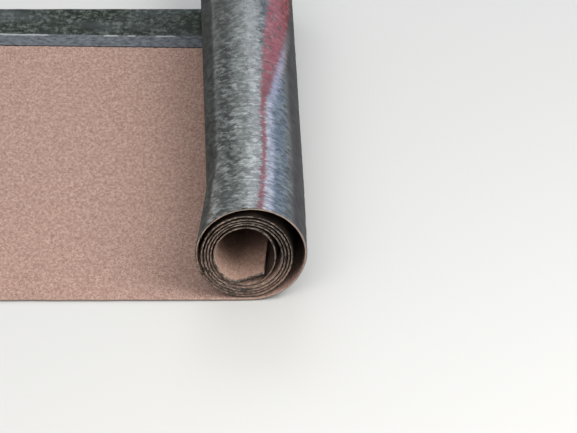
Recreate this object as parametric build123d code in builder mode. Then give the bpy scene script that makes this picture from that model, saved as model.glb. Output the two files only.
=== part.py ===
from build123d import *
from math import atan2, cos, hypot, pi, radians, sin
import os

# A part-used roll of mineral-faced bitumen roofing felt, lying on its side. X runs across
# the roll, Y along its axis and Z up. The origin is on the floor, under the middle of the
# whole piece. The granule face is inside the turns and the film face is outside them.
# Sizes are in millimetres.

# The felt
felt_width = 1000.0
felt_thickness = 4.0

# The winding. Turns are counted from under the bore, outwards and clockwise at the near end.
bore_diameter = 98.0
turn_gap = 1.0
turn_count = 6
arcs_per_turn = 6

# The loose inner end, a flat flap that rises across the foot of the bore
flap_length = 20.0
flap_rise = 25.5
flap_bend = 21.0
flap_turn = 1 / 12

# The outer end, which leaves the roll at its foot and lies flat on the floor
tail_length = 500.0

# The near end of the roll has sprung open over this length. The stack is the tight turns,
# which moved to the left there, and the loop is the outer turn, which opened round them. Its
# ease is how soon it opens, and the inner turn's right side came inwards.
loose_length = 220.0
loose_steps = 3
loose_curve = 1.1
stack_shift = 19.0
loop_spread = 11.5
loop_drift = 6.0
loop_lift = 5.0
loop_ease = 3
inner_spring = 7.0

# The roll's axis is over its foot. A quarter turn before its end, the winding is at its right.
turn_pitch = felt_thickness + turn_gap
first_radius = (bore_diameter + felt_thickness) / 2
last_radius = first_radius + turn_pitch * turn_count
roll_height = last_radius + felt_thickness / 2
roll_right = last_radius - turn_pitch / 4 + felt_thickness / 2
roll_x = (tail_length - roll_right) / 2


def looseness(y):
    # 1 at the near end, 0 where the roll is tight
    return max(0.0, 1 - y / loose_length) ** loose_curve


def spiral_point(turn, loose):
    # The middle of the felt's thickness, a number of turns from the start of the winding
    angle = 2 * pi * turn
    right_side = 0.5 < turn < 1
    spring = inner_spring * loose * sin(angle) ** 2 if right_side else 0
    radius = first_radius + turn_pitch * turn - spring
    loop_share = max(0.0, turn - turn_count + 1)
    opened = loose * (1 - (1 - loop_share) ** loop_ease)
    x = roll_x - stack_shift * loose + loop_drift * opened
    z = roll_height + loop_lift * opened
    return (
        x - (radius + loop_spread * opened) * sin(angle),
        z - (radius + loop_lift * opened) * cos(angle),
    )


def felt_run(turn, loose):
    # The way the felt runs as it winds outwards, of length 1
    if turn == turn_count:
        return -1.0, 0.0
    step = 0.001
    back_x, back_z = spiral_point(turn - step, loose)
    next_x, next_z = spiral_point(turn + step, loose)
    run = hypot(next_x - back_x, next_z - back_z)
    return (next_x - back_x) / run, (next_z - back_z) / run


def face_point(turn, loose, side):
    # A point on one face of the felt: side is 1 for the film face, -1 for the granule face
    x, z = spiral_point(turn, loose)
    run_x, run_z = felt_run(turn, loose)
    reach = side * felt_thickness / 2
    return x - run_z * reach, z + run_x * reach


def bend_point(lean, loose, side):
    # A point of the bend between the flap and the winding, where the felt leans by an angle
    x, z = spiral_point(flap_turn, loose)
    run_x, run_z = felt_run(flap_turn, loose)
    radius = flap_bend + side * felt_thickness / 2
    return (
        x + run_z * flap_bend - radius * sin(lean),
        z - run_x * flap_bend - radius * cos(lean),
    )


def felt_section(y):
    # The outline of the whole sheet, cut square across the roll at a distance from its near end
    loose = looseness(y)
    rise = radians(flap_rise)
    run_x, run_z = felt_run(flap_turn, loose)
    winding_lean = atan2(run_z, -run_x)
    arc_count = arcs_per_turn * turn_count
    tips, tails = [], []
    with BuildSketch(Plane.XZ.offset(felt_width / 2 - y)) as section:
        with BuildLine():
            for side in (1, -1):
                leans = (-rise, (winding_lean - rise) / 2, winding_lean)
                bend = [bend_point(lean, loose, side) for lean in leans]
                root_x, root_z = bend[0]
                tips.append((root_x + flap_length * cos(rise), root_z + flap_length * sin(rise)))
                Line(tips[-1], bend[0])
                ThreePointArc(*bend)
                for arc in range(arc_count):
                    shares = [(arc + part) / arc_count for part in (0, 0.5, 1)]
                    turns = [flap_turn + (turn_count - flap_turn) * share for share in shares]
                    ThreePointArc(*[face_point(turn, loose, side) for turn in turns])
                foot_x, foot_z = face_point(turn_count, loose, side)
                tails.append((roll_x - tail_length, foot_z))
                Line((foot_x, foot_z), tails[-1])
            Line(*tips)
            Line(*tails)
        make_face()
    return section.sketch.face()


# The whole sheet, from the sprung near end through the tight body to the far end
with BuildPart() as felt_roll:
    stations = [loose_length * step / loose_steps for step in range(loose_steps + 1)]
    loft([felt_section(y) for y in stations + [felt_width]], ruled=True)

felt_roll.part.label = "felt_roll"

os.makedirs("parts", exist_ok=True)
export_step(felt_roll.part, "parts/felt_roll.step")
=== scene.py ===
import bpy
import math
import numpy as np
from mathutils import Matrix, Vector


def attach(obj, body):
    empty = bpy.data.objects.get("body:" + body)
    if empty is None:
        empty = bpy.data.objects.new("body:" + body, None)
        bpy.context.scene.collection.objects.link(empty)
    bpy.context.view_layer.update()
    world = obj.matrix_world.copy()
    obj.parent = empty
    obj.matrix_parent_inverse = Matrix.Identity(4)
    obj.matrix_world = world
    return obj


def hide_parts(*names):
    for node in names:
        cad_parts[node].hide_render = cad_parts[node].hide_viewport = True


# A part-used roll of mineral-faced roofing felt. X runs across the roll, Y along its axis.
# Sizes are in metres and angles in degrees. Turns are counted from under the bore, outwards.
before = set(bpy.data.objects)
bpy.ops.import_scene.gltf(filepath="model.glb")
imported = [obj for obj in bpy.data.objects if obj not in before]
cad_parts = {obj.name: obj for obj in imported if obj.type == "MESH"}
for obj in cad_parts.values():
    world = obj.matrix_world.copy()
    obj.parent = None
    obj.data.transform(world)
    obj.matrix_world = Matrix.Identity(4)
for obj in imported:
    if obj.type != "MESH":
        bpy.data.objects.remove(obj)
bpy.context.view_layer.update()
print("frame loaded")

# the sheet and how it is wound
felt = {
    "width": 1.0,
    "thickness": 0.004,
    "bore": 0.098,
    "gap": 0.001,
    "turns": 6,
    # the loose inner end: a flat flap, and a bend that meets the winding at flapTurn
    "flapLength": 0.0395,
    "flapRise": 22.0,
    "flapBend": 0.021,
    "flapTurn": 1 / 12,
    "tailLength": 0.500,
    # what moved where the near end has sprung open
    "looseLength": 0.220,
    "looseCurve": 1.1,
    "stackShift": 0.019,
    "loopSpread": 0.0115,
    "loopDrift": 0.006,
    "loopLift": 0.005,
    "loopEase": 3,
    "innerSpring": 0.007,
    "springTurns": (0.5, 1),  # the inner turn's right side
}

# how finely the mesh is cut
cut = {
    # the flap from its tip, 2, to its root, 1, and then its bend
    "flapStations": (2, 1.95, 1.5, 1, 0.8, 0.6, 0.4, 0.2),
    "stepsPerTurn": 40,  # inner turns
    "outerStep": 0.004,  # along the outer turn
    "laidStep": 0.020,
    "edgeZone": 0.040,  # close columns this far from each cut edge
    "edgeStep": 0.004,
    "midStep": 0.020,
    "fineStep": 0.003,  # across the outer turn's film
    "corner": 0.0008,  # the cut edges' worn corners, how wide and how deep
    "cornerDrop": 0.0006,
    "edgeRows": (0.22, 0.5, 0.78),  # shares of the thickness
    "sharpAngle": 38,
}

# the wrinkled film and the uneven cut edges. A cell is how far apart random lumps lie, along
# the sheet and across it.
wear = {
    "seed": 29,
    "ripplePeriod": 0.0160,
    "rippleDepth": 0.00095,
    "rippleSways": [((0.045, 0.060), 0.5), ((0.014, 0.020), 0.6)],  # cells, shares of a period
    "breakCells": (0.012, 0.010),
    "unbroken": (0.45, 1.1),  # how much of a ripple stays, on average and at most either way
    "shortCells": (0.0100, 0.0100),
    "softCells": (0.060, 0.090),
    "rippleShares": (0.45, 0.4, 0.15),  # of the long, short and soft ones
    "aslantFrom": 0.22,  # along the outer turn, where the wrinkles start to run aslant
    "aslantOver": 0.15,
    "aslant": 0.42,
    "aslantEnds": 1.4,  # so much sooner than the looseness
    "leftLean": 1.15,  # left of the top the wrinkles lean towards the far end
    "turnSway": 0.00045,  # how far the inner turns wander off an even winding
    "swayCell": 0.060,
    "swayFade": 0.05,
    "granuleDepth": 0.00015,
    "granuleCells": (0.012, 0.012),
    "edgeReach": 0.06,  # how far from a cut edge its notches and slips reach
    "edgeNotch": 0.0012,
    "notchCell": 0.007,
    "telescope": 0.0040,
    "slipCell": 0.110,
    "slipFade": (0.05, 0.15),  # where it ends past the roll's foot, and over what length
    "edgeRough": 0.0007,
}

rng = np.random.default_rng(wear["seed"])
turns = felt["turns"]
topTurn = turns - 0.5  # where the outer turn passes the roll's top
outerFrom = (turns - 0.7, 0.1)  # where the finishes of the outer turn start, as a soft step
pitch = felt["thickness"] + felt["gap"]
firstRadius = (felt["bore"] + felt["thickness"]) / 2
lastRadius = firstRadius + pitch * turns
rollHeight = lastRadius + felt["thickness"] / 2
rollRight = lastRadius - pitch / 4 + felt["thickness"] / 2
rollX = (felt["tailLength"] - rollRight) / 2


def looseness(fromNear):
    # 1 at the near end, 0 where the roll is tight
    share = np.clip(1 - fromNear / felt["looseLength"], 0, 1)
    return share ** felt["looseCurve"]


def spiralPoint(turn, loose):
    # the middle of the felt's thickness, that many turns from the start of the winding
    angle = 2 * np.pi * turn
    springFrom, springTo = felt["springTurns"]
    springs = (turn > springFrom) & (turn < springTo)
    spring = np.where(springs, felt["innerSpring"] * loose * np.sin(angle) ** 2, 0)
    radius = firstRadius + pitch * turn - spring
    loopShare = np.clip(turn - turns + 1, 0, 1)
    opened = loose * (1 - (1 - loopShare) ** felt["loopEase"])
    x = rollX - felt["stackShift"] * loose + felt["loopDrift"] * opened
    z = rollHeight + felt["loopLift"] * opened
    return (
        x - (radius + felt["loopSpread"] * opened) * np.sin(angle),
        z - (radius + felt["loopLift"] * opened) * np.cos(angle),
    )


def windingLine(turn, loose):
    # the middle of the thickness, and the way the film faces
    step = 0.001
    x, z = spiralPoint(turn, loose)
    back, ahead = spiralPoint(turn - step, loose), spiralPoint(turn + step, loose)
    runX, runZ = ahead[0] - back[0], ahead[1] - back[1]
    run = np.hypot(runX, runZ)
    return x, z, -runZ / run, runX / run


def sheetLine(kind, at, loose):
    # one station of the sheet: the flap, its bend, the winding or the laid end
    rise = math.radians(felt["flapRise"])
    if kind == "winding":
        x, z, outX, outZ = windingLine(at, loose)
        if at >= turns:
            outX, outZ = 0 * outX, 0 * outZ - 1
        return x, z, outX, outZ
    if kind == "laid":
        footX, footZ = spiralPoint(turns, loose)
        endX = rollX - felt["tailLength"]
        return footX + (endX - footX) * at, footZ, 0 * footX, 0 * footX - 1
    x, z, outX, outZ = windingLine(felt["flapTurn"], loose)
    windingLean = np.arctan2(-outX, -outZ)
    lean = windingLean + (-rise - windingLean) * min(1, at)
    bend = felt["flapBend"]
    bendX = x - outX * bend - bend * np.sin(lean)
    bendZ = z - outZ * bend - bend * np.cos(lean)
    if at > 1:
        reach = felt["flapLength"] * (at - 1)
        bendX, bendZ = bendX + reach * math.cos(rise), bendZ + reach * math.sin(rise)
    return bendX, bendZ, -np.sin(lean), -np.cos(lean)


def evenSteps(start, end, step):
    return np.linspace(start, end, max(1, round(abs(end - start) / step)) + 1)


# stations along the sheet, from the flap's tip to the laid end
innerSteps = evenSteps(felt["flapTurn"], turns - 1, 1 / cut["stepsPerTurn"])
outerSteps = evenSteps(turns - 1, turns, cut["outerStep"] / (2 * math.pi * lastRadius))
laidSteps = evenSteps(0, 1, cut["laidStep"] / felt["tailLength"])
stations = [("flap", at) for at in cut["flapStations"]]
stations += [("winding", at) for at in innerSteps]
fineFrom = len(stations) - 1
stations += [("winding", at) for at in outerSteps[1:]]
fineTo = len(stations) - 1
stations += [("laid", at) for at in laidSteps[1:-1]]
stations += [("laid", 1 - cut["corner"] / felt["tailLength"]), ("laid", 1)]

# columns across the sheet: coarse everywhere, with fine ones between on the outer film
edge = evenSteps(0, cut["edgeZone"], cut["edgeStep"])[1:]
middle = evenSteps(cut["edgeZone"], felt["width"] - cut["edgeZone"], cut["midStep"])[1:-1]
coarse = np.concatenate([[0, cut["corner"]], edge, middle, felt["width"] - edge[::-1],
                         [felt["width"] - cut["corner"], felt["width"]]])
fine, coarseAt = [], []
for left, right in zip(coarse[:-1], coarse[1:]):
    coarseAt.append(len(fine))
    fine += list(evenSteps(left, right, cut["fineStep"])[:-1])
coarseAt.append(len(fine))
fine = np.array(fine + [felt["width"]])


def lumps(along, across, longCell, wideCell):
    # smooth random lumps from -1 to 1
    margin = 2  # cells, because sheared places lie below 0
    u, v = along / longCell + margin, across / wideCell + margin
    grid = rng.uniform(-1, 1, (int(u.max()) + margin + 1, int(v.max()) + margin + 1))
    i, j = u.astype(int), v.astype(int)
    fu, fv = u - i, v - j
    fu, fv = fu * fu * (3 - 2 * fu), fv * fv * (3 - 2 * fv)
    low = grid[i, j] * (1 - fu) + grid[i + 1, j] * fu
    high = grid[i, j + 1] * (1 - fu) + grid[i + 1, j + 1] * fu
    return low * (1 - fv) + high * fv


def hills(along, across, longCell, wideCell):
    # the same from 0 to 1
    return 0.5 + 0.5 * lumps(along, across, longCell, wideCell)


lineX, lineZ, outX, outZ = [np.array(part) for part in zip(*[
    [np.broadcast_to(value, fine.shape) for value in sheetLine(kind, at, looseness(fine))]
    for kind, at in stations])]
middleColumn = len(fine) // 2
steps = np.hypot(np.diff(lineX[:, middleColumn]), np.diff(lineZ[:, middleColumn]))
along = np.concatenate([[0], np.cumsum(steps)])
alongGrid, acrossGrid = np.meshgrid(along, fine, indexing="ij")
turnOf = np.array([{"flap": 0, "laid": turns}.get(kind, at) for kind, at in stations])

# across the sheet, but sheared where the wrinkles run aslant: left of the top, and on the
# sprung end's right
leftTurn = np.clip(turnOf - topTurn, -1 / 4, 0) * 2 * np.pi
lean = wear["leftLean"] * lastRadius * (1 - np.cos(leftTurn))
pastTop = np.maximum(alongGrid - along[fineFrom] - wear["aslantFrom"], 0)
aslant = wear["aslant"] * looseness(acrossGrid * wear["aslantEnds"])
aslant = aslant * np.minimum(pastTop / wear["aslantOver"], 1) * pastTop
shearedGrid = acrossGrid + aslant - lean[:, None]
turnSway = wear["turnSway"] * lumps(along, 0 * along, wear["swayCell"], 1)
turnSway = turnSway * np.clip((along[fineFrom] - along) / wear["swayFade"], 0, 1)
print("sheet laid out,", len(stations), "stations,", len(fine), "columns")


def rippleHeight():
    # the film's short wrinkles run round the roll: 1 on a crest, 0 in a valley
    sway = sum(lumps(alongGrid, acrossGrid, *cells) * share for cells, share in wear["rippleSways"])
    crest = 1 - np.abs(np.sin(np.pi * (shearedGrid / wear["ripplePeriod"] + sway)))
    average, swing = wear["unbroken"]
    unbroken = np.clip(average + swing * lumps(alongGrid, acrossGrid, *wear["breakCells"]), 0, 1)
    short = hills(alongGrid, shearedGrid, *wear["shortCells"])
    soft = hills(alongGrid, acrossGrid, *wear["softCells"])
    longShare, shortShare, softShare = wear["rippleShares"]
    return np.clip(crest * unbroken * longShare + short * shortShare + soft * softShare, 0, 1)


crests = rippleHeight()


def sheetPoints(side):
    # one face of the sheet: side 1 is the film, -1 the granules
    edgeGap = np.minimum(acrossGrid, felt["width"] - acrossGrid)
    drop = cut["cornerDrop"] * np.clip(1 - edgeGap / cut["corner"], 0, 1)
    if side > 0:
        drop = drop + wear["rippleDepth"] * (1 - crests)
    else:
        drop = drop + wear["granuleDepth"] * hills(alongGrid, acrossGrid, *wear["granuleCells"])
    reach = side * (felt["thickness"] / 2 - drop) + turnSway[:, None]
    x, z = lineX + outX * reach, lineZ + outZ * reach
    # the cut edges are notched, and the turns are not quite flush
    notch = wear["edgeNotch"] * hills(along, 0 * along, wear["notchCell"], 1)
    slip = wear["telescope"] * hills(along, 0 * along, wear["slipCell"], 1)
    slipEnd, slipFade = wear["slipFade"]
    slip = slip * np.clip((along[fineTo] + slipEnd - along) / slipFade, 0, 1)
    share = np.clip(1 - edgeGap / wear["edgeReach"], 0, 1)
    inward = np.where(acrossGrid < felt["width"] / 2, 1, -1)
    y = acrossGrid - felt["width"] / 2 + inward * share * (notch + slip)[:, None]
    return np.stack([x, y, z], -1)


class FeltMesh:
    # gathers the sheet's vertices, what each knows about its place, and its faces
    def __init__(self):
        self.points, self.faces, self.finishes = [], [], []
        self.places = {name: [] for name in ("along", "across", "sheared", "depth", "turn", "crest")}

    def put(self, point, i, j, depth):
        known = (along[i], fine[j], shearedGrid[i, j], depth, turnOf[i], crests[i, j])
        for values, value in zip(self.places.values(), known):
            values.append(value)
        self.points.append(tuple(point))
        return len(self.points) - 1

    def face(self, corners, finish, turned=False):
        self.faces.append(corners[::-1] if turned else corners)
        self.finishes.append(finish)

    def strip(self, first, second, finish, turned=False):
        # faces between two rows; where one row is finer, its faces get extra corners
        if len(first) > len(second):
            return self.strip(second, first, finish, not turned)
        spans = list(zip(range(len(second) - 1), range(1, len(second))))
        if len(second) > len(first):
            spans = list(zip(coarseAt[:-1], coarseAt[1:]))
        for i, (low, high) in enumerate(spans):
            self.face([first[i + 1], first[i]] + second[low:high + 1], finish, turned)


filmPoints, granulePoints = sheetPoints(1), sheetPoints(-1)
mesh = FeltMesh()
filmRows, granuleRows = [], []
for i in range(len(stations)):
    columns = range(len(fine)) if fineFrom < i < fineTo else coarseAt
    filmRows.append([mesh.put(filmPoints[i, j], i, j, 1) for j in columns])
    granuleRows.append([mesh.put(granulePoints[i, j], i, j, 0) for j in coarseAt])


def edgeRow(i, end, inward, wobble):
    # the vertices through the thickness on one cut edge: end 0 is the near one, -1 the far one
    column = range(len(fine))[end]
    film, granule = filmPoints[i, column], granulePoints[i, column]
    row = [granuleRows[i][end]]
    for share, push in zip(cut["edgeRows"], wobble):
        point = granule + (film - granule) * share + np.array([0, inward * push, 0])
        row.append(mesh.put(point, i, column, share))
    return row + [filmRows[i][end]]


wobble = rng.uniform(0, wear["edgeRough"], (2, len(stations), len(cut["edgeRows"])))
nearEdge = [edgeRow(i, 0, 1, wobble[0, i]) for i in range(len(stations))]
farEdge = [edgeRow(i, -1, -1, wobble[1, i]) for i in range(len(stations))]
for i in range(len(stations) - 1):
    mesh.strip(filmRows[i], filmRows[i + 1], "innerFilm" if i < fineFrom else "film")
    mesh.strip(granuleRows[i], granuleRows[i + 1], "granules", turned=True)
    mesh.strip(nearEdge[i], nearEdge[i + 1], "edge")
    mesh.strip(farEdge[i], farEdge[i + 1], "edge", turned=True)
for i in (0, -1):
    # the flap's tip and the laid end, whose corners share the cut edges' vertices
    granule, film = granuleRows[i], filmRows[i]
    for k in range(len(granule) - 1):
        corners = [granule[k + 1], granule[k]]
        corners += nearEdge[i][1:-1] if k == 0 else []
        corners += [film[k], film[k + 1]]
        corners += farEdge[i][-2:0:-1] if k == len(granule) - 2 else []
        mesh.face(corners, "edge", turned=i != 0)

finishes = ["film", "innerFilm", "granules", "edge"]
data = bpy.data.meshes.new("felt_sheet")
data.from_pydata(mesh.points, [], mesh.faces)
data.update()
for name, values in mesh.places.items():
    layer = data.attributes.new(name, "FLOAT", "POINT")
    layer.data.foreach_set("value", np.array(values, np.float32))
data.polygons.foreach_set("material_index", [finishes.index(name) for name in mesh.finishes])
data.polygons.foreach_set("use_smooth", [True] * len(data.polygons))
data.set_sharp_from_angle(angle=math.radians(cut["sharpAngle"]))
data.calc_loop_triangles()
feltSheet = bpy.data.objects.new("felt_sheet", data)
bpy.context.scene.collection.objects.link(feltSheet)
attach(feltSheet, "root")
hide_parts("felt_roll")
print("sheet meshed,", len(data.loop_triangles), "triangles")


class Wire:
    # one socket of a node, so that sums and products on it become Math nodes
    def __init__(self, socket):
        self.socket = socket

    def maths(self, operation, *others, turned=False):
        values = [self, *others]
        values = values[::-1] if turned else values
        board = Board(self.socket.id_data)
        return board.add("ShaderNodeMath", {"operation": operation}, dict(enumerate(values)))

    def __add__(self, other):
        return self.maths("ADD", other)

    def __sub__(self, other):
        return self.maths("SUBTRACT", other)

    def __rsub__(self, other):
        return self.maths("SUBTRACT", other, turned=True)

    def __mul__(self, other):
        return self.maths("MULTIPLY", other)

    def __pow__(self, other):
        return self.maths("POWER", other)

    __radd__, __rmul__ = __add__, __mul__

    def above(self, edge, soft):
        # 0 under the edge and 1 over it, with a soft step between
        board = Board(self.socket.id_data)
        return board.add("ShaderNodeMapRange", {"interpolation_type": "SMOOTHSTEP"},
                         {"Value": self, "From Min": edge - soft, "From Max": edge + soft})

    def within(self, low, high, soft):
        return self.above(low, soft) * (1 - self.above(high, soft))

    def between(self, low, high):
        # low where this is 0, and high where it is 1
        return self * (high - low) + low


def blend(parts, shares):
    first, *others = [part * share for part, share in zip(parts, shares)]
    return sum(others, first)


class Board:
    # one node tree, and the only place where its nodes are made
    def __init__(self, tree):
        self.tree = tree

    def add(self, kind, settings=None, sockets=None, out=0):
        node = self.tree.nodes.new(kind)
        for name, value in (settings or {}).items():
            if name == "stops":
                ramp = node.color_ramp
                while len(ramp.elements) < len(value):
                    ramp.elements.new(1)
                for element, (place, colour) in zip(ramp.elements, value):
                    element.position, element.color = place, (*colour, 1)
            else:
                setattr(node, name, value)
        for name, value in (sockets or {}).items():
            if isinstance(value, Wire):
                self.tree.links.new(value.socket, node.inputs[name])
            else:
                node.inputs[name].default_value = value
        return Wire(node.outputs[out]) if len(node.outputs) else node

    def mix(self, share, first, second):
        # colours; sockets 6 and 7 of a Mix node are its colours, and output 2 its result
        first, second = [c if isinstance(c, Wire) else (*c, 1) for c in (first, second)]
        return self.add("ShaderNodeMix", {"data_type": "RGBA"}, {0: share, 6: first, 7: second}, out=2)

    def place(self, longScale, wideScale, shift=0.0):
        # a point on the sheet, with its lengths along and across it scaled
        return self.add("ShaderNodeCombineXYZ", None,
                        {"X": self.along * longScale, "Y": self.wide * wideScale, "Z": shift})

    def noise(self, longScale, wideScale, shift, detail=3.0, roughness=0.55):
        return self.add("ShaderNodeTexNoise", None,
                        {"Vector": self.place(longScale, wideScale, shift), "Scale": 1.0,
                         "Detail": detail, "Roughness": roughness})

    def readSheet(self):
        for name in mesh.places:
            setattr(self, name, self.add("ShaderNodeAttribute", {"attribute_name": name}, out="Fac"))
        self.wide = self.across


def newFinish(name, preview):
    material = bpy.data.materials.new(name)
    material.use_nodes = True
    material.node_tree.nodes.clear()
    material.diffuse_color = (*preview, 1)
    feltSheet.data.materials.append(material)
    board = Board(material.node_tree)
    board.readSheet()
    return board


def finishSurface(board, colour, roughness, height, finish, coat=None):
    bump = board.add("ShaderNodeBump", None,
                     {"Height": height, "Distance": finish["bump"], "Strength": finish["bumpShare"]})
    surface = board.add("ShaderNodeBsdfPrincipled", None,
                        {"Base Color": colour, "Roughness": roughness, "Normal": bump,
                         "IOR": finish["ior"], **(coat or {})})
    board.add("ShaderNodeOutputMaterial", None, {"Surface": surface})


# In the finishes a noise is given as its cells per metre along the sheet and across it, a
# shift, its detail and its roughness, and a soft step as its middle and its reach either way.
film = {
    "dark": (0.008, 0.011, 0.010),
    "grey": (0.034, 0.046, 0.041),
    "blotches": (52, 36, 3.1, 3, 0.6),
    "blotchStep": (0.50, 0.16),
    # the pale wrinkles, whitish haze with painted glints, and brighter ticks on them, which are painted
    # glints
    "hazeAndGlint": (0.350, 0.390, 0.380),
    "hazeAndGlintShare": 0.62,
    "glint": (0.560, 0.590, 0.600),
    "glintShare": 0.42,
    "wrinkles": (88, 84, 7.7, 3, 0.50),
    "creases": (170, 170, 11.3, 2),
    "streakMix": (0.55, 0.20, 0.25),  # of wrinkles, creases and the mesh's own crests
    "streakStep": (0.49, 0.08),
    "ticks": (80, 140, 41.0, 2),
    "tickStep": (0.60, 0.05),
    "patches": (32, 17, 17.9, 2),
    "patchStep": (0.48, 0.16),
    "patchShares": (0.4, 1.0),  # between the patches and on them
    # painted shade, where fewer pale wrinkles and glints are painted: tilts from which it is, and how
    # much of the wrinkles is left
    "leftFlank": (-52, 4),
    "rightFlank": (50, 7),
    "flankShares": (1.17, 1.10),  # left and right
    "flankLeft": 0.36,
    "rightSlope": (22, 8),
    "slopeLeft": 0.30,
    "farPart": (0.5, 0.2),  # metres from the near end
    "farLeft": 0.40,
    # a violet painted reflection and painted shade on the right flank
    "violetReflection": (0.026, 0.014, 0.024),
    "violetReflectionFrom": (47, 6),
    "violetReflectionShare": 0.45,
    # the painted red reflection, in degrees right of the top: a line, and where it widens to a streak
    "line": (8.2, 13.9),
    "widens": (0.25, 76.0, 0.355, 122.0),
    "ragged": (60, 150, 31.0, 3),
    "raggedBy": (-8, 8),
    "softens": (0.45, 0.12),  # metres from the near end
    "softness": (1.8, 3.6),
    "rightSofter": 1.4,
    "redEnds": (68, 5),
    "redReflection": (0.190, 0.012, 0.030),
    "redReflectionWide": (0.300, 0.050, 0.066),
    "redWideFrom": (0.50, 0.15),
    "redMix": (0.5, 0.5),  # of wrinkles and creases
    "redStep": (0.48, 0.09),
    "redShares": (0.33, 0.88),  # between its ripples and on them
    "redDims": (58, 8),
    "redLeft": 0.70,
    "redGlintMix": (0.6, 0.4),  # of creases and crests
    "redGlintStep": (0.56, 0.07),
    "redGlintFrom": (0.45, 0.10),
    "redGlintShare": 0.26,
    # right of the thin line the film is glossier, with a paler painted reflection
    "haloReflection": (0.520, 0.510, 0.680),
    "farHaloReflection": (0.420, 0.230, 0.330),
    "farHaloFrom": (0.40, 0.10),
    "haloBand": (-1, 9, 4.5),
    "haloEnds": (0.62, 0.12),
    "haloShares": (0.20, 0.40),
    "haloCoat": 0.8,
    "haloRoughness": 0.32,
    "haloIor": 1.6,
    # its gloss and its small ripples
    "gloss": (90, 70, 21.0),
    "roughness": (0.17, 0.34),
    "flankRoughness": 0.42,
    "redRoughness": 0.24,
    "heightMix": (0.8, 0.2),  # of wrinkles and creases
    "bump": 0.0014,
    "bumpShare": 1.0,
    "ior": 1.45,
}

# the burn-off film: dark bitumen behind it, and short pale wrinkles of whitish haze with painted glints
board = newFinish("rippled_film", film["grey"])
board.wide = board.sheared
blotches = board.noise(*film["blotches"]).above(*film["blotchStep"])
wrinkles = board.noise(*film["wrinkles"])
creases = board.noise(*film["creases"])
ticks = board.noise(*film["ticks"]).above(*film["tickStep"])
patches = board.noise(*film["patches"]).above(*film["patchStep"]).between(*film["patchShares"])
# how far each place is tilted from the roll's top, in degrees to its right
tilt = (board.turn - topTurn) * 360
leftShare, rightShare = film["flankShares"]
flank = tilt.above(*film["rightFlank"]) * rightShare
flank = flank + (1 - tilt.above(*film["leftFlank"])) * leftShare
# painted shade: fewer painted glints on the flanks, towards the far end and on the right slope
glintShade = flank.between(1, film["flankLeft"])
glintShade = glintShade * board.across.above(*film["farPart"]).between(1, film["farLeft"])
glintShade = glintShade * tilt.above(*film["rightSlope"]).between(1, film["slopeLeft"])
streaks = blend((wrinkles, creases, board.crest), film["streakMix"]).above(*film["streakStep"])
colour = board.mix(blotches, film["dark"], film["grey"])
# pale wrinkles of whitish haze with painted glints, and ticks of painted glints
colour = board.mix(streaks * patches * glintShade * film["hazeAndGlintShare"], colour, film["hazeAndGlint"])
colour = board.mix(ticks * patches * glintShade * film["glintShare"], colour, film["glint"])
# violet painted reflection and painted shade on the right flank
colour = board.mix(tilt.above(*film["violetReflectionFrom"]) * film["violetReflectionShare"], colour, film["violetReflection"])
# a painted red reflection along the top: a broad streak at the far end, a thin line at the near end
lineLeft, lineRight = film["line"]
leftFrom, leftRate, rightFrom, rightRate = film["widens"]
left = (board.across - leftFrom).maths("MAXIMUM", 0.0) ** 2 * leftRate + lineLeft
right = (board.across - rightFrom).maths("MAXIMUM", 0.0) * rightRate + lineRight
ragged = tilt + board.noise(*film["ragged"]).between(*film["raggedBy"])
softness = board.across.above(*film["softens"]).between(*film["softness"])
redReflectionMask = (ragged - left).above(0, softness)
redReflectionMask = redReflectionMask * (1 - (ragged - right).above(0, softness * film["rightSofter"]))
redReflectionMask = redReflectionMask * (1 - tilt.above(*film["redEnds"]))
# a paler painted reflection right of the thin line, which also gets a glossier coat
inHalo = (ragged - right).within(*film["haloBand"]) * (1 - board.across.above(*film["haloEnds"]))
haloReflection = board.mix(board.across.above(*film["farHaloFrom"]), film["haloReflection"], film["farHaloReflection"])
colour = board.mix(inHalo * streaks.between(*film["haloShares"]), colour, haloReflection)
redReflection = board.mix(board.across.above(*film["redWideFrom"]), film["redReflection"], film["redReflectionWide"])
redRipples = blend((wrinkles, creases), film["redMix"]).above(*film["redStep"])
redShare = redRipples.between(*film["redShares"])
redShare = redShare * tilt.above(*film["redDims"]).between(1, film["redLeft"])
colour = board.mix(redReflectionMask * redShare, colour, redReflection)
# painted glints on the red reflection
redGlints = blend((creases, board.crest), film["redGlintMix"]).above(*film["redGlintStep"])
redGlints = redGlints * board.across.above(*film["redGlintFrom"])
colour = board.mix(redReflectionMask * redGlints * film["redGlintShare"], colour, film["hazeAndGlint"])
roughness = board.noise(*film["gloss"]).between(*film["roughness"])
roughness = roughness + flank * film["flankRoughness"] + redReflectionMask * film["redRoughness"]
height = blend((wrinkles, creases), film["heightMix"])
coat = {"Coat Weight": inHalo * (1 - redReflectionMask) * film["haloCoat"],
        "Coat Roughness": film["haloRoughness"], "Coat IOR": film["haloIor"]}
finishSurface(board, colour, roughness, height, film, coat)

innerFilm = {
    "dark": (0.006, 0.004, 0.003),
    "brown": (0.026, 0.018, 0.013),
    "dust": (24, 30, 71.0, 3),
    "dustStep": (0.52, 0.12),
    "dustShare": 0.7,
    "folds": (90, 120, 63.0, 3),
    "roughness": (0.62, 0.87),
    "bump": 0.0008,
    "bumpShare": 0.8,
    "ior": 1.20,
}

# between the turns the film is dull, and dusty in places
board = newFinish("inner_film", innerFilm["dark"])
folds = board.noise(*innerFilm["folds"])
dust = board.noise(*innerFilm["dust"]).above(*innerFilm["dustStep"])
colour = board.mix(dust * innerFilm["dustShare"], innerFilm["dark"], innerFilm["brown"])
finishSurface(board, colour, folds.between(*innerFilm["roughness"]), folds, innerFilm)

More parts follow.
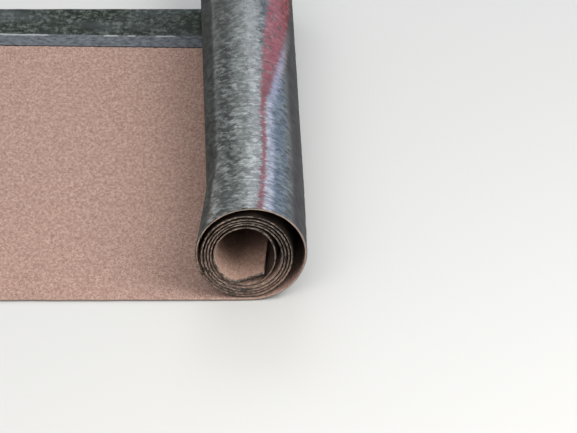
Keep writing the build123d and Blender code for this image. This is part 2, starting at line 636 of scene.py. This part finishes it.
granules = {
    "chipSize": 0.0014,
    "chips": [(0.0, (0.25, 0.140, 0.110)), (0.18, (0.440, 0.272, 0.222)), (0.45, (0.530, 0.342, 0.284)),
              (0.8, (0.62, 0.412, 0.345)), (1.0, (0.76, 0.55, 0.47))],
    "chipEdge": (0.15, 0.15),
    "worn": (0.44, 0.275, 0.225),
    "wornPatches": (40, 40, 5.0, 4),
    "wornStep": (0.58, 0.12),
    "wornShare": 0.45,
    "clumps": (190, 105, 33.0, 2),
    "darkClumps": (0.56, 0.12),
    "lightClumps": (0.42, 0.12),
    "clumpShare": 0.28,
    # the inner turn, with a warmer tan tint, and painted shade deep in the bore
    "innerTo": (1.2, 0.2),
    "tan": (0.46, 0.345, 0.245),
    "tanShare": 0.20,
    "boreShade": (0.10, 0.064, 0.046),
    "boreShadeFrom": (0.092, 0.065),  # metres from either end
    "boreShadeShare": 0.76,
    # painted shade behind the flap's tip and in the loop
    # a dark bitumen colour: bare where granules are knocked off, and painted shade behind the flap's tip
    # and in the loop
    "bitumenAndShade": (0.030, 0.020, 0.015),
    "shadeBehindTip": (0.62, 0.925, 0.030),  # in turns
    "shadeBehindTipTo": (0.105, 0.035),  # metres from the near end
    "shadeBehindTipShare": 0.86,
    "shadeInLoop": (-0.46, -0.155, 0.045),  # in turns from the roll's foot
    "shadeInLoopTo": (0.012, 0.30, 0.010),  # metres from the near end
    "shadeInLoopShare": 0.88,
    # granules knocked off the inner turns' corners
    "chipped": (150, 1, 83.0, 2),
    "chippedStep": (0.46, 0.06),
    "chippedTo": (0.0011, 0.0003),  # metres from either end
    "chippedShare": 0.80,
    "roughness": (0.80, 0.95),  # on the selvedge and on the granules
    "bump": 0.0005,
    "bumpShare": 0.9,
    "ior": 1.25,
}

# the bare selvedge along the far edge, with lines that are given in metres from it
selvedge = {
    "skew": 0.026,  # they aren't quite parallel to the edge
    "skewFrom": 0.25,
    "lineSoft": 0.0008,
    # a dark strip with specks and pale stains, and a painted highlight along the rim
    "dark": (0.013, 0.018, 0.012),
    "darkTo": 0.0996,
    "speck": (0.160, 0.195, 0.165),
    "specks": (95, 80, 9.0, 4, 0.75),
    "speckStep": (0.54, 0.11),
    "speckPatches": (26, 22, 27.0, 3),
    "speckPatchStep": (0.43, 0.12),
    "speckShare": 0.8,
    "speckHeight": 0.4,
    "stains": (7, 12, 51.0, 4),
    "stainStep": (0.52, 0.12),
    "stainShare": 0.26,
    "rimHighlight": (0.0018, 0.0006),
    "rimHighlightShare": 0.7,
    # a broken light line: where it shows, in metres along the laid end from the roll's foot
    "light": (0.43, 0.45, 0.46),
    "lightBand": (0.0992, 0.1044),
    "dashes": [(0.1236, 0.1571), (0.1941, 0.2064), (0.2241, 0.2487), (0.3474, 0.52)],
    "dashSoft": 0.003,
    "loneDashes": (9, 0, 44.0, 1),  # on the roll
    "loneStep": (0.60, 0.02),
    "loneTo": (0, 0.01),
    "lightShares": (0.02, 0.88),
    "uneven": (70, 70, 15.0, 2),
    "unevenBy": (-0.0025, 0.0025),
    # a grey band, a dark line, and the ragged edge of the granules
    "grey": (0.172, 0.190, 0.212),
    "greyTo": 0.1405,
    "bandSpecks": (90, 110, 12.0, 4, 0.7),
    "bandStep": (0.47, 0.16),
    "evenGrey": 0.30,
    "darkLine": (0.014, 0.016, 0.018),
    "darkLineTo": 0.1442,
    "ragged": (140, 140, 6.0, 2),
    "raggedBy": (-0.003, 0.003),
    "raggedSoft": 0.0006,
}

board = newFinish("mineral_granules", granules["chips"][2][1])
chipAt = board.place(1 / granules["chipSize"], 1 / granules["chipSize"])
chip = board.add("ShaderNodeTexVoronoi", {"feature": "F1"}, {"Vector": chipAt, "Scale": 1.0}, out="Color")
tint = board.add("ShaderNodeSeparateColor", None, {"Color": chip}, out="Red")
chips = board.add("ShaderNodeValToRGB", {"stops": granules["chips"]}, {"Fac": tint})
chipEdge = board.add("ShaderNodeTexVoronoi", {"feature": "DISTANCE_TO_EDGE"},
                     {"Vector": chipAt, "Scale": 1.0}).above(*granules["chipEdge"])
worn = board.noise(*granules["wornPatches"]).above(*granules["wornStep"])
colour = board.mix(worn * granules["wornShare"], chips, granules["worn"])
clumps = board.noise(*granules["clumps"])
darkClumps = clumps.above(*granules["darkClumps"])
colour = board.mix(darkClumps * granules["clumpShare"], colour, granules["chips"][0][1])
lightClumps = 1 - clumps.above(*granules["lightClumps"])
colour = board.mix(lightClumps * granules["clumpShare"], colour, granules["chips"][-1][1])
# the selvedge: a dark speckled strip, a broken light line, a grey band and a dark line
pastFoot = board.along - float(along[fineTo])
fromFar = felt["width"] - board.across
fromEdge = fromFar + (pastFoot.maths("MAXIMUM", 0.0) - selvedge["skewFrom"]) * selvedge["skew"]
specks = board.noise(*selvedge["specks"]).above(*selvedge["speckStep"])
specks = specks * board.noise(*selvedge["speckPatches"]).above(*selvedge["speckPatchStep"])
stains = board.noise(*selvedge["stains"]).above(*selvedge["stainStep"])
# a painted highlight along the far edge's rim
onRimHighlight = 1 - fromFar.above(*selvedge["rimHighlight"])
bare = board.mix(specks * selvedge["speckShare"], selvedge["dark"], selvedge["speck"])
bare = board.mix(stains * selvedge["stainShare"], bare, selvedge["grey"])
bare = board.mix(onRimHighlight * selvedge["rimHighlightShare"], bare, selvedge["grey"])
bandSpecks = board.noise(*selvedge["bandSpecks"]).above(*selvedge["bandStep"])
band = board.mix(bandSpecks, selvedge["darkLine"], selvedge["grey"])
band = board.mix(selvedge["evenGrey"], band, selvedge["grey"])
bare = board.mix(fromEdge.above(selvedge["darkTo"], selvedge["lineSoft"]), bare, band)
loneDashes = board.noise(*selvedge["loneDashes"]).above(*selvedge["loneStep"])
dashed = loneDashes * (1 - pastFoot.above(*selvedge["loneTo"]))
for start, end in selvedge["dashes"]:
    dashed = dashed + pastFoot.within(start, end, selvedge["dashSoft"])
uneven = board.noise(*selvedge["uneven"]).between(*selvedge["unevenBy"])
onLine = (fromEdge + uneven).within(*selvedge["lightBand"], selvedge["lineSoft"])
bare = board.mix(onLine * dashed.between(*selvedge["lightShares"]), bare, selvedge["light"])
onDarkLine = fromEdge.above(selvedge["greyTo"], selvedge["lineSoft"])
bare = board.mix(onDarkLine, bare, selvedge["darkLine"])
ragged = board.noise(*selvedge["ragged"]).between(*selvedge["raggedBy"])
onGranules = (fromEdge + ragged).above(selvedge["darkLineTo"], selvedge["raggedSoft"])
# the inner turn's tan tint and painted shade deep in the bore, and painted shade behind the flap's tip
# and in the loop
fromEnd = board.across.maths("MINIMUM", fromFar)
innerTurn = 1 - board.turn.above(*granules["innerTo"])
boreShadeMask = innerTurn * fromEnd.above(*granules["boreShadeFrom"])
colour = board.mix(innerTurn * granules["tanShare"], colour, granules["tan"])
# painted shade deep in the bore, from either end
colour = board.mix(boreShadeMask * granules["boreShadeShare"], colour, granules["boreShade"])
# painted shade behind the flap's tip and in the loop
shadeBehindTip = board.turn.within(*granules["shadeBehindTip"])
shadeBehindTip = shadeBehindTip * (1 - board.across.above(*granules["shadeBehindTipTo"]))
colour = board.mix(shadeBehindTip * granules["shadeBehindTipShare"], colour, granules["bitumenAndShade"])
shadeInLoop = (board.turn - turns).within(*granules["shadeInLoop"]) * board.across.within(*granules["shadeInLoopTo"])
colour = board.mix(shadeInLoop * granules["shadeInLoopShare"], colour, granules["bitumenAndShade"])
# granules are knocked off the inner turns' corners here and there
chipped = board.noise(*granules["chipped"]).above(*granules["chippedStep"])
chipped = chipped * (1 - fromEnd.above(*granules["chippedTo"])) * (1 - board.turn.above(*outerFrom))
colour = board.mix(chipped * granules["chippedShare"], colour, granules["bitumenAndShade"])
colour = board.mix(onGranules, bare, colour)
height = chipEdge * onGranules + specks * selvedge["speckHeight"]
finishSurface(board, colour, onGranules.between(*granules["roughness"]), height, granules)

edging = {
    "bitumen": (0.011, 0.008, 0.006),
    "dust": (0.250, 0.205, 0.175),
    "brownDust": (0.360, 0.240, 0.165),
    "grainScale": 700.0,
    "grainDetail": 3.0,
    "smears": (70, 30, 2.0),
    "flecks": (150, 1),
    "fleckShifts": (73.0, 75.2),  # on the granule side and on the film side
    "fleckDetail": 2,
    "fleckStep": (0.50, 0.07),
    # parts of each turn's way round the roll
    "lowRight": (0.80, 0.97, 0.06),
    "rightSide": (0.56, 0.90, 0.06),
    "leftSide": (0.08, 0.42, 0.06),
    "brownShares": (0.7, 0.65),  # low on the right and on the left
    "dustMix": (0.5, 0.5, 0.10),  # of grain, smears and the low right part
    "dustStep": (0.505, 0.07),
    "dustShare": 0.75,
    "dustAndSideLight": (-0.04, 0.15, 0.20),  # on the right, low on the right and on the left
    "dustFlecks": (0.35, 1.60),  # between the flecks and on them
    "filmSide": (0.80, 0.10),  # in shares of the thickness
    "filmSideLeft": 0.4,
    "outerShare": 0.85,
    # the granule side shows as a light line, brighter on some stretches than on others
    "granuleLine": (0.38, 0.305, 0.250),
    "granuleSide": (0.20, 0.08),
    "lineMix": (0.3, 0.7),  # of grain and smears
    "lineStep": (0.43, 0.08),
    "stretches": (13, 1, 57.0, 2),
    "stretchStep": (0.48, 0.08),
    "stretchShares": (0.15, 1.0),
    "lineSideLight": (-0.55, 0.5),  # on the right and on the left
    "lineFlecks": (0.35, 1.35),
    # the flap's tip, lighter near the near end, with painted shade deep in the bore
    "tip": (0.0022, 0.0006),
    "tipLight": (0.050, 0.030),
    "tipShares": (0.3, 0.9),
    "tipShade": 0.8,
    "roughness": (0.50, 0.85),
    "bump": 0.0008,
    "bumpShare": 0.9,
    "ior": 1.40,
}

board = newFinish("cut_edge", edging["bitumen"])
onPiece = board.add("ShaderNodeTexCoord", out="Object")
grain = board.add("ShaderNodeTexNoise", None, {"Vector": onPiece, "Scale": edging["grainScale"],
                                               "Detail": edging["grainDetail"]})
smears = board.noise(*edging["smears"])
fleckShift = board.depth.between(*edging["fleckShifts"])
flecks = board.noise(*edging["flecks"], fleckShift, edging["fleckDetail"]).above(*edging["fleckStep"])
outerTurn = board.turn.above(*outerFrom)
roundTurn = board.turn.maths("FRACT")
lowRight, leftSide = roundTurn.within(*edging["lowRight"]), roundTurn.within(*edging["leftSide"])
rightSide = roundTurn.within(*edging["rightSide"]) * (1 - outerTurn)
brown = blend((lowRight, leftSide), edging["brownShares"])
dust = board.mix(brown, edging["dust"], edging["brownDust"])
dusty = blend((grain, smears, lowRight), edging["dustMix"]).above(*edging["dustStep"])
dusty = dusty * board.depth.above(*edging["filmSide"]).between(1, edging["filmSideLeft"])
# real dust, with larger shares on the left and low right and a smaller one on the right as painted light
# and shade
sideDustAndLight = blend((rightSide, lowRight, leftSide), edging["dustAndSideLight"])
dusty = dusty * (sideDustAndLight + edging["dustShare"]) * flecks.between(*edging["dustFlecks"])
colour = board.mix(dusty, edging["bitumen"], dust)
colour = board.mix(outerTurn * edging["outerShare"], colour, dust)
granuleSide = blend((grain, smears), edging["lineMix"]).above(*edging["lineStep"])
granuleSide = granuleSide * (1 - board.depth.above(*edging["granuleSide"]))
stretches = board.noise(*edging["stretches"]).above(*edging["stretchStep"])
stretches = stretches.between(*edging["stretchShares"]) * flecks.between(*edging["lineFlecks"])
# the light line is lighter on the left and darker on the right, as painted light and shade
stretches = stretches * (blend((rightSide, leftSide), edging["lineSideLight"]) + 1)
colour = board.mix(granuleSide * stretches, colour, edging["granuleLine"])
atTip = 1 - board.along.above(*edging["tip"])
lightTip = atTip * (1 - board.across.above(*edging["tipLight"]))
colour = board.mix(lightTip * grain.between(*edging["tipShares"]), colour, edging["granuleLine"])
# painted shade on the flap's tip deep in the bore
colour = board.mix((atTip - lightTip) * edging["tipShade"], colour, granules["boreShade"])
finishSurface(board, colour, grain.between(*edging["roughness"]), grain, edging)
print("finishes made")

studio = {
    "floor": (0.70, 0.70, 0.69),
    "floorSize": 120,
    "floorDrop": 0.0005,
    "floorRoughness": 0.95,
    "sky": (1.0, 1.0, 1.0),
    "skyStrength": 0.36,
    # bearing off +Y, height above the floor, distance, size, glow and tint of each soft lamp
    "panels": {
        "key": (130, 43, 3.6, (2.4, 2.4), 5.4, (1.0, 0.99, 0.97)),
        "near_left": (198, 36, 4.0, (2.4, 2.0), 3.8, (1.0, 0.97, 0.93)),
        "far_middle": (6.6, 32, 5.0, (1.45, 2.6), 3.5, (0.85, 0.90, 1.0)),
        "far_left": (-17, 33, 5.0, (2.6, 1.8), 2.25, (0.92, 0.98, 1.0)),
        "far_right": (25.0, 14, 5.0, (1.15, 2.4), 1.8, (0.45, 0.63, 1.0)),
    },
    # the camera's place from the roll's axis, and how it is turned
    "fromAxis": (-0.2161, -7.386, 4.1739),
    "turn": -2.197,
    "down": 30.233,
    "roll": 1.018,
    "focalPixels": 5000.0,
    "pictureWidth": 577,
    "sensorWidth": 36.0,
    "clipEnd": 200.0,
}

bpy.ops.mesh.primitive_plane_add(size=studio["floorSize"])
floor = bpy.context.object
floor.name = "floor"
floorFinish = bpy.data.materials.new("pale_floor")
floorFinish.use_nodes = True
shader = floorFinish.node_tree.nodes["Principled BSDF"]
shader.inputs["Base Color"].default_value = (*studio["floor"], 1)
shader.inputs["Roughness"].default_value = studio["floorRoughness"]
floor.data.materials.append(floorFinish)
floor.location.z = -studio["floorDrop"]

scene = bpy.context.scene
scene.view_settings.view_transform = "Standard"
world = bpy.data.worlds.new("studio_sky")
scene.world = world
world.use_nodes = True
sky = world.node_tree.nodes["Background"]
sky.inputs["Color"].default_value = (*studio["sky"], 1)
sky.inputs["Strength"].default_value = studio["skyStrength"]


def softPanel(name, bearing, height, distance, size, glow, tint):
    # a rectangular lamp that faces the roll and isn't seen itself
    bearing, height = math.radians(bearing), math.radians(height)
    lamp = bpy.data.lights.new(name, "AREA")
    lamp.shape, lamp.size, lamp.size_y, lamp.color = "RECTANGLE", *size, tint
    lamp.energy = glow * math.pi * size[0] * size[1]
    holder = bpy.data.objects.new(name, lamp)
    level = math.cos(height)
    towards = Vector((math.sin(bearing) * level, math.cos(bearing) * level, math.sin(height)))
    holder.location = Vector((rollX, 0, rollHeight)) + towards * distance
    holder.rotation_euler = (-towards).to_track_quat("-Z", "Y").to_euler()
    holder.visible_camera = False
    scene.collection.objects.link(holder)


for name, panel in studio["panels"].items():
    softPanel(name, *panel)

camera = bpy.data.cameras.new("camera")
cameraHolder = bpy.data.objects.new("camera", camera)
scene.collection.objects.link(cameraHolder)
scene.camera = cameraHolder
camera.sensor_width = studio["sensorWidth"]
camera.lens = studio["focalPixels"] * camera.sensor_width / studio["pictureWidth"]
camera.clip_end = studio["clipEnd"]
turn, down, roll = [math.radians(studio[name]) for name in ("turn", "down", "roll")]
aim = Vector((-math.sin(turn) * math.cos(down), math.cos(turn) * math.cos(down), -math.sin(down)))
level = Vector((math.cos(turn), math.sin(turn), 0))
upright = level.cross(aim)
right = level * math.cos(roll) + upright * math.sin(roll)
up = upright * math.cos(roll) - level * math.sin(roll)
place = Vector(studio["fromAxis"]) + Vector((rollX, 0, 0))
axes = Matrix((right, up, -aim)).transposed()
cameraHolder.matrix_world = Matrix.Translation(place) @ axes.to_4x4()
print("studio set")
